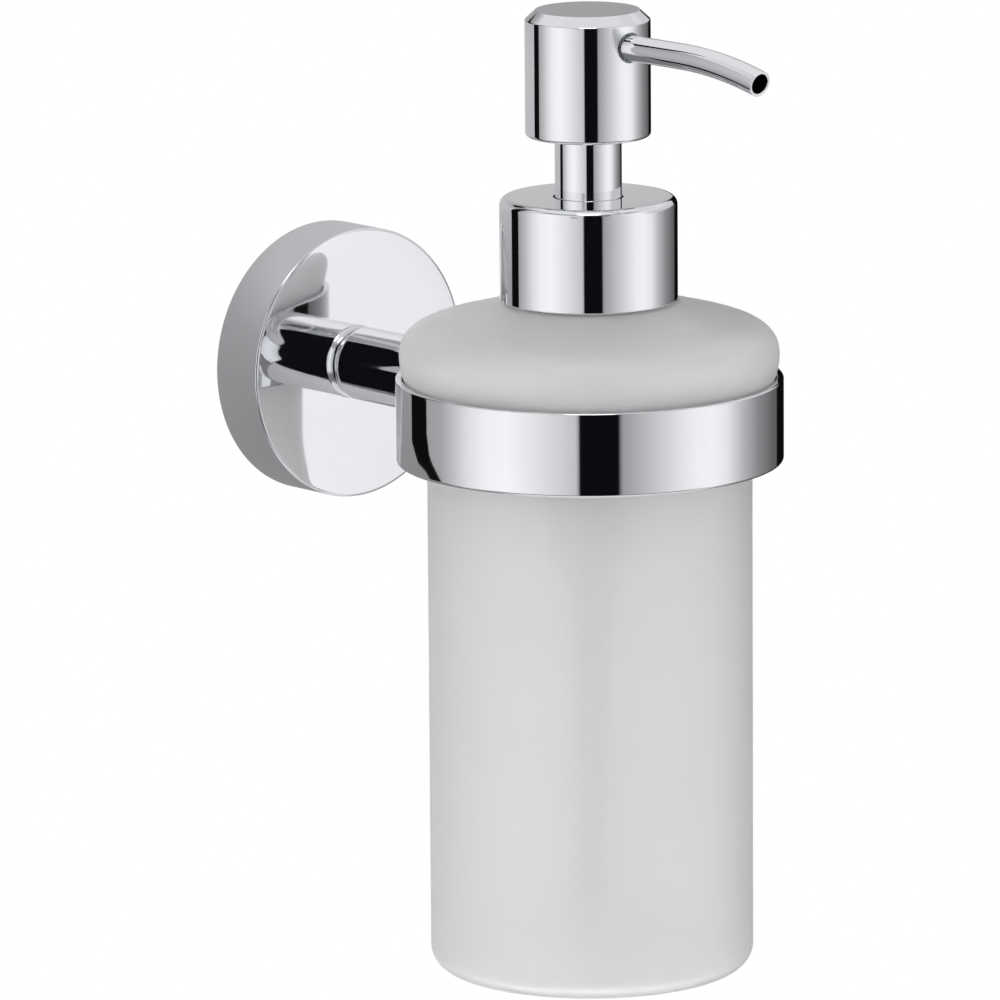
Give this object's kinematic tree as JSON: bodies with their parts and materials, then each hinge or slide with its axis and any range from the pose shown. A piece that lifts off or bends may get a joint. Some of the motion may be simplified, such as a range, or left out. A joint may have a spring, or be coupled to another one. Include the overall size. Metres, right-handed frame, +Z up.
{
  "type": "wall mounted soap dispenser",
  "caption": "Wall mounted soap dispenser: a round plate and arm carry a chrome ring that holds a frosted glass jar with a press-down pump and curved spout.",
  "frame": {"origin": "centre of the round wall plate's back face, on the wall", "axes": "+Y into the wall, -Y out into the room along the arm, +Z up, +X to the right for someone facing the wall"},
  "size_m": [0.071, 0.1215, 0.1782],
  "materials": {
    "chrome": "mirror polished chrome plate",
    "zinc": "die-cast zinc, dull satin",
    "steel": "bright stainless steel",
    "frosted_glass": "acid-frosted, matt, translucent",
    "clear_plastic": "translucent moulded plastic",
    "white_plastic": "white moulded polypropylene",
    "tube_plastic": "translucent polyethylene tube",
    "seal_plastic": "soft natural polyethylene",
    "seal_rubber": "pale silicone rubber"
  },
  "bodies": {
    "holder": {"wall_bracket": "zinc", "rosette": "chrome", "grub_screw": "steel", "arm": "chrome", "arm_washer": "steel", "arm_screw": "steel", "holder_ring": "chrome", "ring_screw": "steel", "ring_liner": "clear_plastic"},
    "jar": {"glass_jar": "frosted_glass"},
    "pump": {"collar": "chrome", "cap_insert": "white_plastic", "neck_gasket": "seal_rubber", "pump_body": "white_plastic", "guide_bush": "white_plastic", "dip_tube": "tube_plastic", "return_spring": "steel"},
    "inlet_valve": {"inlet_ball": "steel"},
    "piston_seal": {"piston": "seal_plastic"},
    "head_unit": {"head": "chrome", "head_insert": "white_plastic", "spout": "chrome", "stem_sleeve": "chrome", "piston_rod": "white_plastic"},
    "outlet_valve": {"outlet_ball": "steel"}
  },
  "joints": [
    {"name": "jar_lift", "type": "slide", "parent": "holder", "child": "jar", "axis": [0, 0, 1], "range_m": [0, 0.125]},
    {"name": "pump_lift", "type": "slide", "parent": "jar", "child": "pump", "axis": [0, 0, 1], "range_m": [0, 0.14]},
    {"name": "head_press", "type": "slide", "parent": "pump", "child": "piston_seal", "axis": [0, 0, -1], "range_m": [0, 0.0105], "stiffness_N_per_m": 400, "springref_m": -0.012, "deforming": ["return_spring"]},
    {"name": "head_swivel", "type": "hinge", "parent": "piston_seal", "child": "head_unit", "pos_m": [0, -0.0755, 0.0627], "axis": [0, 0, 1], "continuous": true},
    {"name": "inlet_valve_lift", "type": "slide", "parent": "pump", "child": "inlet_valve", "axis": [0, 0, 1], "range_m": [0, 0.0012]},
    {"name": "outlet_valve_lift", "type": "slide", "parent": "head_unit", "child": "outlet_valve", "axis": [0, 0, 1], "range_m": [0, 0.0015]}
  ]
}
